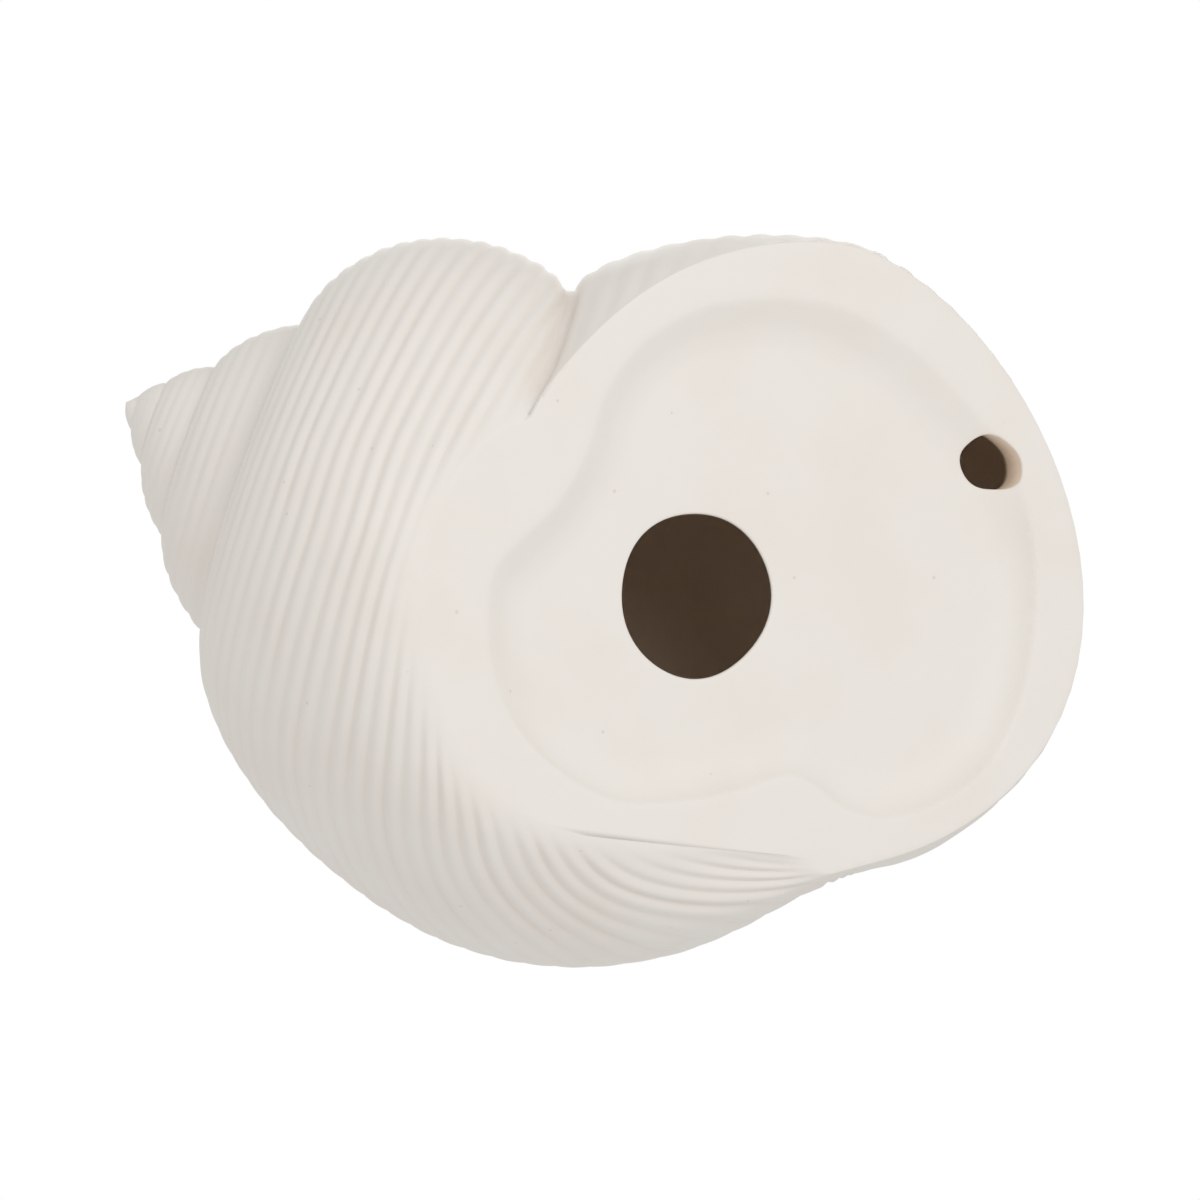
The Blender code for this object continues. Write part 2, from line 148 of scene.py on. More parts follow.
# foot: the outline of the panel's edge
PANEL_EDGE = (
    (-59.0, 4.7), (-57.2, -7.3), (-50.3, -14.6), (-39.8, -24.2), (-32.5, -36.2), (-27.8, -49.4),
    (-18.5, -61.4), (-3.9, -69.8), (13.3, -72.7), (33.2, -71.0), (51.7, -62.1), (67.6, -48.2),
    (80.0, -33.8), (86.1, -13.4), (85.6, 11.8), (79.5, 31.0), (68.9, 44.2), (50.4, 52.1),
    (37.2, 50.7), (28.2, 44.7), (20.7, 42.2), (9.2, 45.2), (-5.3, 48.1), (-23.8, 48.5),
    (-39.7, 41.1), (-51.6, 29.8), (-57.4, 17.8),
)
PANEL_DEPTH = 6.0
WALL = 5.0

# slope of the panel's wall, as distance in and height, with its softness, and the direction and
# width over which the soft slope turns into the crisp one
SOFT_SLOPE = ((0.3, 0.0), (1.6, 1.0), (7.2, 4.6), (11.5, 6.0)), 0.9
CRISP_SLOPE = ((0.1, 0.0), (0.7, 0.9), (2.2, 2.8), (4.6, 4.5), (8.0, 5.6), (11.0, 6.0)), 0.3
CRISP_TURN = np.radians(70.0)
CRISP_RAMP = 20.0

# holes: centre, radii, turn, how uneven the hand-cut outline is, and how far the neck widens
# towards the hollow, which leaves a thin edge
CASTING_HOLE = ((-0.8, -1.3), (19.8, 19.8), 0.0, 0.012, 2.6)
VENT_HOLE = ((75.8, -33.0), (7.5, 6.0), np.radians(37.0), 0.03, 0.5)
HOLE_SIDES = (96, 64)
# waves of the uneven cut: size, how many go round, and where they start
CUT_WAVES = ((1.0, 3, 2.2), (0.6, 5, 0.6))
# where the neck's upper rings lie, as shares of the wall, and the least height of a ring
NECK_SHARES = (0.6, 1.0)
LEAST_NECK = 0.5

# hollow: how far along the axis it reaches, how finely it is traced and how narrow it may get
HOLLOW_REACH = (27.0, 202.0)
HOLLOW_RINGS = 40
HOLLOW_STEP = 1.0
LEAST_RADIUS = 2.5
OUT_OF_REACH = -500

# mesh fineness
COLUMNS = 204
ROWS_PER_RIB = 6
HOLLOW_COLUMNS = COLUMNS // 3
PROFILE_SAMPLES = 160
LIP_RINGS = 5
# foot: gap of its honeycomb of points, how clear that keeps of the rings along the panel's edge
# and of the outlines, as shares of the gap, and the rings' distances inside that edge
FOOT_SPACING = 1.5
CLEAR_OF_RINGS, CLEAR_OF_OUTLINES = 0.5, 0.55
EDGE_POINTS = 330
EDGE_RINGS = (-0.5, 0.1, 0.7, 1.4, 2.3)
# raster of the foot's height: its step, its margin, and how many steps the blur reaches
RASTER_STEP = 0.4
RASTER_MARGIN = 8
BLUR_REACH = 6
# points closer than these are made one, in the skin and where the sheets meet, and how close to
# a level or an outline counts as on it
MERGE = 0.03
JOINING = 0.01
ON_IT = 0.01

# studio, in metres: the camera's angle from straight below, what it frames and how far off it
# stands; what the lights point at, and their offsets from it, the key's along the picture's
# right, up and back; and the floor, a little below the foot
VIEW_ANGLE = np.radians(25.0)
FRAME_WIDTH = 0.288
FRAME_CENTRE = Vector((-0.0291, -0.0002, 0.0))
VIEW_DISTANCE = 1.5
LIGHT_TARGET = Vector((0, 0, 0.04))
KEY_OFFSET, KEY_SIZE = (0.4, 0.4, 1.1), 0.7
UPPER_OFFSET, UPPER_SIZE = Vector((0.5, -0.2, 1.0)), 0.5
FLOOR_HALF = 3.0
FLOOR_LEVEL = -0.0004
WHITE = (1, 1, 1, 1)


def through_stations(turn, name):
    """Monotone cubic curve through the growth stations of one quantity."""
    turns = np.array([row[0] for row in GROWTH])
    values = np.array([row[GROWTH_NAMES.index(name)] for row in GROWTH], dtype=float)
    gap = np.diff(turns)
    rise = np.diff(values) / gap
    slope = np.zeros_like(values)
    slope[0], slope[-1] = rise[0], rise[-1]
    before, after = 2 * gap[1:] + gap[:-1], gap[1:] + 2 * gap[:-1]
    same_way = rise[:-1] * rise[1:] > 0
    safe = np.where(same_way, rise[:-1], 1.0), np.where(same_way, rise[1:], 1.0)
    mean = (before + after) / (before / safe[0] + after / safe[1])
    slope[1:-1] = np.where(same_way, mean, 0.0)
    i = np.clip(np.searchsorted(turns, turn) - 1, 0, len(gap) - 1)
    t = (turn - turns[i]) / gap[i]
    start = (1 + 2 * t) * (1 - t) ** 2 * values[i] + t * (1 - t) ** 2 * gap[i] * slope[i]
    end = t * t * (3 - 2 * t) * values[i + 1] - t * t * (1 - t) * gap[i] * slope[i + 1]
    return start + end


def axis_frame():
    """Unit vectors of the spiral: along the axis, towards turn zero, and a quarter turn on."""
    cp, sp, cy, sy = np.cos(AXIS_PITCH), np.sin(AXIS_PITCH), np.cos(AXIS_YAW), np.sin(AXIS_YAW)
    along = np.array([cp * cy, cp * sy, -sp])
    level = np.array([sy, -cy, 0.0])
    under = np.array([-sp * cy, -sp * sy, -cp])
    cr, sr = np.cos(TURN_ZERO_ROLL), np.sin(TURN_ZERO_ROLL)
    return along, cr * level + sr * under, cr * under - sr * level


def spoke(turn):
    """Unit vector out from the axis at each turn: cosine of the angle times the turn-zero
    direction plus sine times the direction a quarter turn on."""
    _, zero, quarter = axis_frame()
    angle = 2 * np.pi * turn
    return np.cos(angle)[:, None] * zero + np.sin(angle)[:, None] * quarter


def whorl_profile(turn, suture):
    """Smooth profile of the whorl at each turn: suture, shoulder, widest point, base, pole.

    The shoulder is a superellipse quarter from the suture point to the widest point. The base
    is a cubic curve that leaves the widest point along the axis and closes on the pole.
    """
    along = axis_frame()[0]
    out = spoke(turn)
    peak = (APEX + through_stations(turn, "peak_height")[:, None] * along
            + through_stations(turn, "peak_radius")[:, None] * out)
    power = (2 / through_stations(turn, "square"))[:, None, None]
    sweep = np.linspace(0, np.pi / 2, PROFILE_SAMPLES)[:, None]
    axial = ((peak - suture) @ along)[:, None] * along
    radial = peak - suture - axial
    fall = np.clip(np.cos(sweep), 0, 1) ** power
    climb = np.clip(np.sin(sweep), 0, 1) ** power
    shoulder = peak[:, None] - axial[:, None] * fall - radial[:, None] * (1 - climb)

    ahead = spoke(np.array([POLE_FORWARD_TURN]))[0]
    share = (out @ ahead)[:, None]
    pole_out = out + share * ((np.cos(POLE_TILT) - 1) * ahead + np.sin(POLE_TILT) * along)
    handle = peak + through_stations(turn, "along")[:, None] * along
    pole_handle = (POLE + through_stations(turn, "out")[:, None] * pole_out
                   - through_stations(turn, "back")[:, None] * along)
    t = np.linspace(0, 1, PROFILE_SAMPLES + 1)[1:, None]
    base = ((1 - t) ** 3 * peak[:, None] + 3 * (1 - t) ** 2 * t * handle[:, None]
            + 3 * (1 - t) * t ** 2 * pole_handle[:, None] + t ** 3 * POLE)
    return tucked_by_notch(swollen_at_foot(np.concatenate([shoulder, base], axis=1)))


def swollen_at_foot(profile):
    """The profile drawn down near the swell's centre, and less so with height: the depth times
    a Gaussian of the place in plan, times an exponential fall with the height."""
    x, y = profile[..., 0] - SWELL_CENTRE[0], profile[..., 1] - SWELL_CENTRE[1]
    c, s = np.cos(SWELL_TURN), np.sin(SWELL_TURN)
    u, v = (c * x + s * y) / SWELL_RADII[0], (c * y - s * x) / SWELL_RADII[1]
    near = np.exp(-u ** 2 - v ** 2 - np.maximum(profile[..., 2], 0) / SWELL_HEIGHT)
    drawn_down = profile.copy()
    drawn_down[..., 2] -= SWELL_DEPTH * near
    return drawn_down


def tucked_by_notch(profile):
    """The profile drawn in on the base side near the tuck's centre: the depth times a Gaussian
    of the place in X and Z, times a smooth step of Y."""
    x, z = profile[..., 0] - TUCK_CENTRE[0], profile[..., 2] - TUCK_CENTRE[1]
    side = smooth_step((profile[..., 1] - TUCK_START) / TUCK_RAMP)
    near = np.exp(-(x / TUCK_RADII[0]) ** 2 - (z / TUCK_RADII[1]) ** 2)
    drawn_in = profile.copy()
    drawn_in[..., 1] -= TUCK_DEPTH * near * side
    return drawn_in


def read_along(wanted, keys, values):
    """Values at the wanted keys, each profile read by linear interpolation in its own keys."""
    count, samples = keys.shape
    wanted = np.clip(wanted, keys[:, :1], keys[:, -1:])
    lift = (np.arange(count) * (keys.max() - keys.min() + 10.0))[:, None]
    place = np.arange(count * samples, dtype=float)
    at = np.interp((wanted + lift).ravel(), (keys + lift).ravel(), place)
    low = np.minimum(at.astype(int), count * samples - 2)
    part = (at - low)[:, None]
    flat = values.reshape(count * samples, -1)
    return ((1 - part) * flat[low] + part * flat[low + 1]).reshape(wanted.shape + (-1,))


def spiral_strip(first_turn, columns):
    """All whorls as one long strip: for each column its turn, the smooth profile, its arc
    length, and how far along it the next whorl's suture lies. A whorl starts at the point of
    the whorl before it that lies at its own suture height."""
    along = axis_frame()[0]
    last_turn = first_turn + WHORLS
    turn = first_turn + np.arange(columns + 1) / columns
    radius = START_RADIUS + START_WIDENING * (turn - FIRST_TURN)
    suture = (APEX + through_stations(turn, "suture")[:, None] * along
              + radius[:, None] * spoke(turn))
    strips = []
    for whorl in range(WHORLS):
        profile = whorl_profile(turn, suture)
        hops = np.linalg.norm(np.diff(profile, axis=1), axis=2)
        arc = np.concatenate([np.zeros((len(turn), 1)), np.cumsum(hops, axis=1)], axis=1)
        height = np.maximum.accumulate((profile - APEX) @ along, axis=1)
        height = height + 1e-6 * np.arange(height.shape[1])
        next_height = through_stations(np.minimum(turn + 1, last_turn), "suture")[:, None]
        cover = read_along(next_height, height, arc[..., None])[:, 0, 0]
        cover[turn + 1 > last_turn + 1e-9] = np.inf
        suture = read_along(next_height, height, profile)[:, 0]
        last = len(turn) if whorl == WHORLS - 1 else columns
        strips.append((turn[:last], profile[:last], arc[:last], cover[:last]))
        turn = turn + 1
    return [np.concatenate(part) for part in zip(*strips)]


def turn_at_foot(rounding):
    """Turn at which the suture meets the foot: where its height passes the rounding below the
    foot plane, read by linear interpolation."""
    turn, profile = spiral_strip(FIRST_TURN, COLUMNS)[:2]
    height = profile[:, 0, 2] + rounding
    i = np.nonzero((height[:-1] > 0) & (height[1:] <= 0))[0][-1]
    return turn[i] + (turn[i + 1] - turn[i]) * height[i] / (height[i] - height[i + 1])


def smooth_step(share):
    """Rises from 0 to 1 over the same range, flat at both ends: 3 share squared less 2 cubed."""
    share = np.clip(share, 0, 1)
    return share * share * (3 - 2 * share)


def settled(points, outward, rounding):
    """Heights of the skin once it has settled on the foot plane.

    At a crisp edge the height is flat at zero: itself above the rounding, zero below minus the
    rounding, and the square of height plus rounding over four roundings between them. On the
    apex and base sides the skin leaves the foot without an edge: with t as the height plus the
    rounding, it is t squared over t plus the ease, which a Gaussian of t turns back into the
    height itself further up. The ease grows with the tangent of the skin's slope.
    """
    height = points[..., 2]
    above = np.maximum(height + rounding, 0)
    crisp = np.where(height > rounding, height, above ** 2 / (4 * rounding))
    low = np.exp(-(above / EASE_HEIGHT) ** 2)
    down = np.clip(-outward[..., 2], 0.1, 1)
    steep = np.minimum(np.sqrt(1 - down ** 2) / down, STEEPEST)
    ease = EASE * (EASE_LEVEL + EASE_STEEP * steep)
    soft = low * above ** 2 / (above + ease) + (1 - low) * np.maximum(height, 0)
    share = (smooth_step((EASE_END_X - points[..., 0]) / EASE_RAMP_X)
             * smooth_step((points[..., 1] - EASE_START_Y) / EASE_RAMP_Y))
    return crisp + share * (soft - crisp)


def rib_rows(turn, whole):
    """Rib spacing of each column, rib number of each row, and how far along the profile each
    row lies: spacing times number, and past the even span a spacing that widens by a soft step,
    so that the ribs share what is left of the profile."""
    pitch = through_stations(turn, "pitch")[:, None]
    rib = np.arange(ROWS_PER_RIB * RIBS + 1)[None, :] / ROWS_PER_RIB
    even = EVEN_SPAN / pitch
    last = through_stations(turn, "ribs")[:, None]
    wider = np.maximum(whole - EVEN_SPAN, pitch) / np.maximum(last - even, 0.5) - pitch
    far = pitch * rib + wider * SPAN_BLEND * np.logaddexp(0, (rib - even) / SPAN_BLEND)
    return pitch, rib, far


def rib_shape(turn, rib, outward):
    """Height of the ribs as a share of the relief: a flat crest and a narrower groove, which is
    1 less twice a raised cosine to a power. It grows along the spire, is full where the surface
    faces down, and has slow waves along each rib and from rib to rib."""
    raised = (0.5 + 0.5 * np.cos(2 * np.pi * rib)) ** GROOVE_POWER
    grown = np.clip((turn - SMOOTH_UNTIL_TURN) / (FULL_RELIEF_TURN - SMOOTH_UNTIL_TURN), 0, 1)
    facing_down = SIDE_RELIEF + (1 - SIDE_RELIEF) * smooth_step(-outward[..., 2] / SQUARE_DOWN)
    angle = 2 * np.pi * turn[:, None]
    waves = 1 + sum(size * np.sin(across * rib + around * angle)
                    for size, across, around in RIB_WAVES)
    return (1 - 2 * raised) * grown[:, None] * facing_down * waves


def foot_band(rounding, profile, arc, cover, meets_foot):
    """How far along the profile the rows lie that follow the foot's own edge, at heights from
    one rounding above the foot plane to one below it, or all at the next whorl's suture."""
    sunk = np.maximum.accumulate(-profile[..., 2], axis=1)
    sunk = sunk + 1e-7 * np.arange(sunk.shape[1])
    levels = -rounding * np.array(BAND_HEIGHTS)
    levels = np.broadcast_to(levels, (len(profile), len(BAND_HEIGHTS)))
    band = read_along(levels, sunk, arc[..., None])[..., 0]
    return np.where(meets_foot[:, None], np.minimum(band, cover), cover)


def crease_share(turn, far, cover, height):
    """How deep in the last suture's crease each point lies, from 0 to 1: a Gaussian of its
    distance from the suture, on either side, times smooth steps of the turn and the height."""
    below, above = (np.exp(-(gap / CREASE_REACH) ** 2) for gap in (far, cover - far))
    share = (below * smooth_step((turn - CREASE_START) / CREASE_RAMP)[:, None]
             + above * smooth_step((turn + 1 - CREASE_START) / CREASE_RAMP)[:, None])
    return share * smooth_step(height / CREASE_FADE)


def strip_corners(gone):
    """Corners of the strip's quads. A row that has run out takes the first point of the column
    one whorl on, which joins the whorls at the suture, and on the last whorl the first point of
    the foot's band."""
    rows = len(BAND_HEIGHTS)
    band = np.ones((len(gone), rows), dtype=bool)
    names = np.arange(len(gone) * (gone.shape[1] + rows)).reshape(len(gone), -1)
    earlier, last = slice(0, len(gone) - COLUMNS), slice(len(gone) - COLUMNS, len(gone))
    run_out = np.concatenate([gone, band], axis=1)[earlier]
    names[earlier] = np.where(run_out, names[COLUMNS:, :1], names[earlier])
    run_out = np.concatenate([gone, ~band], axis=1)[last]
    names[last] = np.where(run_out, names[last, -rows][:, None], names[last])
    names[-1] = names[-1, 0]
    corners = np.stack([names[:-1, :-1], names[1:, :-1], names[1:, 1:], names[:-1, 1:]], axis=2)
    return corners.reshape(-1, 4)


def ribbed_skin(relief, rounding, crease):
    """Outside of the shell as a strip of columns and rows, down to the foot.

    Each point is the smooth profile's, moved along its normal by the relief times the ribs'
    height, less the crease. The ribs fade to nothing at the sutures, at the pole and near the
    foot. Returns the points, how deep in a groove each lies, and the faces' corners.
    """
    last_turn = turn_at_foot(rounding)
    turn, profile, arc, cover = spiral_strip(last_turn - WHORLS, COLUMNS)
    whole, cover = arc[:, -1:], cover[:, None]
    pitch, rib, far = rib_rows(turn, whole)
    band = foot_band(rounding, profile, arc, cover, turn > last_turn - 1 - 1e-9)
    limit = band[:, :1]
    gone = (far > limit - LEAST_GAP / ROWS_PER_RIB * pitch) & (rib > 0)
    far = np.concatenate([np.where(gone, limit, far), band], axis=1)

    normal = np.cross(np.gradient(profile, axis=0), np.gradient(profile, axis=1))
    normal /= np.linalg.norm(normal, axis=2, keepdims=True) + 1e-12
    points = read_along(far, arc, profile)
    outward = read_along(far, arc, normal)
    outward /= np.linalg.norm(outward, axis=2, keepdims=True) + 1e-12
    points[..., 2] = settled(points, outward, rounding)
    fade = np.clip(far / pitch, 0, 1) * np.clip((cover - far) / pitch, 0, 1)
    fade = fade * smooth_step((whole - far) / (POLE_FADE * pitch))
    fade = fade * smooth_step(points[..., 2] / FOOT_FADE)
    rib = np.concatenate([rib + 0 * pitch, np.full(band.shape, 0.5)], axis=1)
    shape = fade * rib_shape(turn, rib, outward)
    creased = crease_share(turn, far, cover, points[..., 2])
    points = points + (relief * shape - crease * creased)[..., None] * outward
    # how deep in a groove or the crease each point lies: the glaze's colour uses it for painted
    # shade
    groove = np.clip(-shape, 0, 1) + np.clip(creased, 0, 1)
    return points.reshape(-1, 3), groove.ravel(), strip_corners(gone)


def closed_curve(points, count):
    """Smooth closed curve through the points, as a periodic Catmull-Rom spline."""
    points = np.asarray(points, dtype=float)
    place = np.arange(count) * len(points) / count
    i = place.astype(int)
    t = (place - i)[:, None]
    before, here, after, beyond = (points[(i + k) % len(points)] for k in (-1, 0, 1, 2))
    return 0.5 * (2 * here + (after - before) * t
                  + (2 * before - 5 * here + 4 * after - beyond) * t ** 2
                  + (3 * here - before - 3 * after + beyond) * t ** 3)


def within(points, start, end):
    """Whether each point lies inside the closed outlines that the edges make: an edge is
    crossed where it passes the point's height to its right, and inside is an odd count."""
    x, y = points[:, 0, None], points[:, 1, None]
    rise = end[:, 1] - start[:, 1]
    across = start[:, 0] + (y - start[:, 1]) * (end - start)[:, 0] / np.where(rise == 0, 1, rise)
    crossed = ((start[:, 1] > y) != (end[:, 1] > y)) & (x < across)
    return crossed.sum(axis=1) % 2 == 1


def distance_to(points, start, end):
    """Distance of each point from the nearest of the edges."""
    near = np.full(len(points), 1e9)
    for here, step in zip(start, end - start):
        t = np.clip((points - here) @ step / (step @ step), 0, 1)
        near = np.minimum(near, np.linalg.norm(points - here - t[:, None] * step, axis=1))
    return near


def blurred(height, softness):
    """The raster averaged with Gaussian weights of the softness, along one axis at a time."""
    reach = np.arange(-BLUR_REACH, BLUR_REACH + 1)
    weight = np.exp(-0.5 * (reach * RASTER_STEP / softness) ** 2)
    weight /= weight.sum()
    for axis in (0, 1):
        height = sum(w * np.roll(height, k, axis=axis) for w, k in zip(weight, reach))
    return height


class FootFace:
    """Underside of the foot as a height over the plane, kept as a fine raster: the slope of the
    panel's wall, read at the distance inside the panel's edge and blurred. The soft slope on the
    top side gives way by a smooth step to the crisp slope on the base side."""

    def __init__(self):
        edge = closed_curve(PANEL_EDGE, EDGE_POINTS)
        self.low = edge.min(axis=0) - RASTER_MARGIN
        shape = ((edge.max(axis=0) + RASTER_MARGIN - self.low) / RASTER_STEP).astype(int)
        x, y = (self.low[k] + RASTER_STEP * np.arange(shape[k]) for k in (0, 1))
        grid = np.stack(np.meshgrid(x, y, indexing="ij"), axis=2).reshape(-1, 2)
        ahead = np.roll(edge, -1, axis=0)
        inside = np.where(within(grid, edge, ahead), distance_to(grid, edge, ahead), 0)
        soft, crisp = (blurred(np.interp(inside, *np.transpose(slope)).reshape(shape), softness)
                       for slope, softness in (SOFT_SLOPE, CRISP_SLOPE))
        c, s = np.cos(CRISP_TURN), np.sin(CRISP_TURN)
        share = smooth_step((grid @ (c, s)).reshape(shape) / CRISP_RAMP)
        self.height = soft + share * (crisp - soft)

    def __call__(self, points):
        """Height at the points, between the raster's samples by bilinear interpolation."""
        place = np.clip((points - self.low) / RASTER_STEP, 0, np.array(self.height.shape) - 1.001)
        i, j = place.astype(int).T
        u, v = (place - place.astype(int)).T
        h = self.height
        return ((1 - u) * (1 - v) * h[i, j] + u * (1 - v) * h[i + 1, j]
                + (1 - u) * v * h[i, j + 1] + u * v * h[i + 1, j + 1])


def oval(hole, widened, sides):
    """Points on the hole's ellipse, widened by a distance and turned about its centre, with
    slow sine waves as the cut is uneven."""
    centre, radii, turned, uneven, _ = hole
    angle = 2 * np.pi * np.arange(sides) / sides
    waves = 1 + uneven * sum(size * np.sin(count * angle + start)
                             for size, count, start in CUT_WAVES)
    x = (radii[0] * waves + widened) * np.cos(angle)
    y = (radii[1] * waves + widened) * np.sin(angle)
    c, s = np.cos(turned), np.sin(turned)
    return np.column_stack([centre[0] + c * x - s * y, centre[1] + s * x + c * y])


def flat_triangles(start, end, between):
    """Delaunay triangles inside the closed outlines that the edges make, with the points
    between them as further corners. Returns the corners and the triangles."""
    sites = [Vector(p) for p in np.concatenate([start, end, between])]
    edges = [(k, len(start) + k) for k in range(len(start))]
    corners, _, faces, _, _, _ = delaunay_2d_cdt(sites, edges, [], 0, 1e-4)
    corners = np.array([tuple(p) for p in corners])
    faces = np.array(faces)
    inside = within(corners[faces].mean(axis=1), start, end)
    return corners, faces[inside].tolist()


def inset(outline, distance):
    """The outline moved inwards by the distance, along its own normals."""
    tangent = np.roll(outline, -1, axis=0) - np.roll(outline, 1, axis=0)
    tangent /= np.linalg.norm(tangent, axis=1, keepdims=True)
    return outline + distance * np.stack([-tangent[:, 1], tangent[:, 0]], axis=1)


def foot_sheet(rim_start, rim_end, holes, foot):
    """Underside between the edges of the rim and the two holes: a honeycomb of points, with
    closer rings along the panel's edge, joined by Delaunay triangles, each at the foot face's
    height, and at zero on the rim."""
    low, high = rim_start.min(axis=0), rim_start.max(axis=0)
    row_gap = FOOT_SPACING * np.sqrt(0.75)
    i, j = np.meshgrid(np.arange((high[0] - low[0]) / FOOT_SPACING),
                       np.arange((high[1] - low[1]) / row_gap), indexing="ij")
    grid = np.column_stack([(low[0] + (i + 0.5 * (j % 2)) * FOOT_SPACING).ravel(),
                            (low[1] + j * row_gap).ravel()])
    edge = closed_curve(PANEL_EDGE, EDGE_POINTS)
    rings = np.concatenate([inset(edge, distance) for distance in EDGE_RINGS])
    # each ring point stands for an edge of next to no length
    clear = distance_to(grid, rings, rings + 1e-6) > CLEAR_OF_RINGS * FOOT_SPACING
    between = np.concatenate([grid[clear], rings])
    start = np.concatenate([rim_start] + holes)
    end = np.concatenate([rim_end] + [np.roll(hole, -1, axis=0) for hole in holes])
    keep = within(between, start, end)
    keep &= distance_to(between, start, end) > CLEAR_OF_OUTLINES * FOOT_SPACING
    flat, faces = flat_triangles(start, end, between[keep])
    height = foot(flat)
    height[distance_to(flat, rim_start, rim_end) < ON_IT] = 0
    return np.column_stack([flat, height]), faces


def open_edges_at(bm, level):
    """Both ends, in plan, of the mesh's open edges that lie at the level."""
    ends = [(edge.verts[0].co, edge.verts[1].co) for edge in bm.edges
            if edge.is_boundary and abs(edge.verts[0].co.z / MILLIMETRE - level) < ON_IT]
    ends = np.array(ends) / MILLIMETRE
    return ends[:, 0, :2], ends[:, 1, :2]


def hole_neck(hole, rounding, sides, foot):
    """Neck of a hole from the foot face up to the floor of the hollow: rings on the hole's
    ellipse, widened and lifted by a quarter circle at the lower edge, and above it widened in
    a straight line towards the hollow."""
    sweep = np.linspace(0, np.pi / 2, LIP_RINGS + 1)
    undercut = hole[-1]
    rings = []
    for angle in sweep:
        ring = oval(hole, rounding * (1 - np.sin(angle)), sides)
        rings.append(np.column_stack([ring, foot(ring) + rounding * (1 - np.cos(angle))]))
    for share in NECK_SHARES:
        ring = oval(hole, share * undercut, sides)
        rings.append(np.column_stack([ring, np.full(sides, PANEL_DEPTH + share * WALL)]))
    rings[-2][:, 2] = np.maximum(rings[-2][:, 2], rings[-3][:, 2] + LEAST_NECK)
    return np.array(rings)


def tube_faces(rings, count, first=0):
    """Quads between neighbouring rings of equal point counts."""
    low = first + count * np.arange(rings - 1)[:, None] + np.arange(count)
    step = first + count * np.arange(rings - 1)[:, None] + np.roll(np.arange(count), -1)
    return np.stack([low, step, step + count, low + count], axis=2).reshape(-1, 4).tolist()


def hollow_rings():
    """Inside of the shell before its floor is cut: the outside drawn in by the wall.

    The wall is measured square to the surface: a ball of its thickness that rolls along each
    side of the shell marks out the inside, ring by ring along the axis.
    """
    along = axis_frame()[0]
    turn, profile, arc, cover = spiral_strip(FIRST_TURN, HOLLOW_COLUMNS)
    heights = np.arange(HOLLOW_REACH[0], HOLLOW_REACH[1], HOLLOW_STEP)
    chosen = np.linspace(0, len(heights) - 1, HOLLOW_RINGS).astype(int)
    apart = heights[:, None] - heights[None, :]
    ball = np.sqrt(np.clip(WALL ** 2 - apart ** 2, 0, None))
    ball = np.where(np.abs(apart) < WALL, ball, OUT_OF_REACH)
    inside = []
    for column in range(HOLLOW_COLUMNS):
        sides = []
        for k in range(column, len(turn), HOLLOW_COLUMNS):
            offset = profile[k][arc[k] <= cover[k]] - APEX
            height = offset @ along
            radius = np.linalg.norm(offset - height[:, None] * along, axis=1)
            sides.append(np.column_stack([height, radius]))
        sides = np.concatenate(sides)
        sides = sides[np.argsort(sides[:, 0], kind="stable")]
        outside = np.interp(heights, sides[:, 0], sides[:, 1])
        inside.append(np.min(outside[None, :] - ball, axis=1)[chosen])
    inside = np.clip(np.array(inside), LEAST_RADIUS, None)
    out = spoke(FIRST_TURN + np.arange(HOLLOW_COLUMNS) / HOLLOW_COLUMNS)
    return np.array([APEX + heights[k] * along + inside[:, i:i + 1] * out
                     for i, k in enumerate(chosen)])


def mesh_of(points, faces):
    """New mesh from points in millimetres."""
    mesh = bpy.data.meshes.new("part")
    mesh.from_pydata((np.asarray(points) * MILLIMETRE).tolist(), [], faces)
    return mesh


def with_material(mesh, index):
    """The mesh with a material index on each face."""
    attribute = mesh.attributes.new("material_index", "INT", "FACE")
    attribute.data.foreach_set("value", np.asarray(index).astype(int))
    return mesh


def hollow_mesh(level):
    """Inside of the shell above its floor, in material 1, open where the floor goes."""
    rings = hollow_rings()
    count = rings.shape[1]
    last = count * (len(rings) - 1)
    ends = [list(range(count))[::-1], list(range(last, last + count))]
    bm = bmesh.new()
    bm.from_mesh(mesh_of(rings.reshape(-1, 3), ends + tube_faces(len(rings), count)))
    bmesh.ops.bisect_plane(bm, geom=bm.verts[:] + bm.edges[:] + bm.faces[:],
                           plane_co=(0, 0, level * MILLIMETRE), plane_no=(0, 0, -1),
                           clear_outer=True)
    mesh = bpy.data.meshes.new("hollow")
    bm.to_mesh(mesh)
    bm.free()
    return with_material(mesh, np.ones(len(mesh.polygons)))


def clean_faces(corners):
    """Quads as faces, with repeated corners left out and what has collapsed dropped."""
    faces = []
    for quad in corners.tolist():
        face = [v for i, v in enumerate(quad) if v != quad[i - 1]]
        if len(set(face)) == len(face) and len(face) > 2:
            faces.append(face)
    return faces


def drop_slivers(bm):
    """Deletes needle-thin triangles that lie across an outline's corner on its outer side, and
    fills those that are missing on its inner side."""
    outside = [face for edge in bm.edges if edge.is_boundary for face in edge.link_faces
               if any(len(side.link_faces) > 2 for side in face.edges)]
    bmesh.ops.delete(bm, geom=list(dict.fromkeys(outside)), context="FACES")
    open_edges = [edge for edge in bm.edges if edge.is_boundary]
    bmesh.ops.holes_fill(bm, edges=open_edges, sides=4)


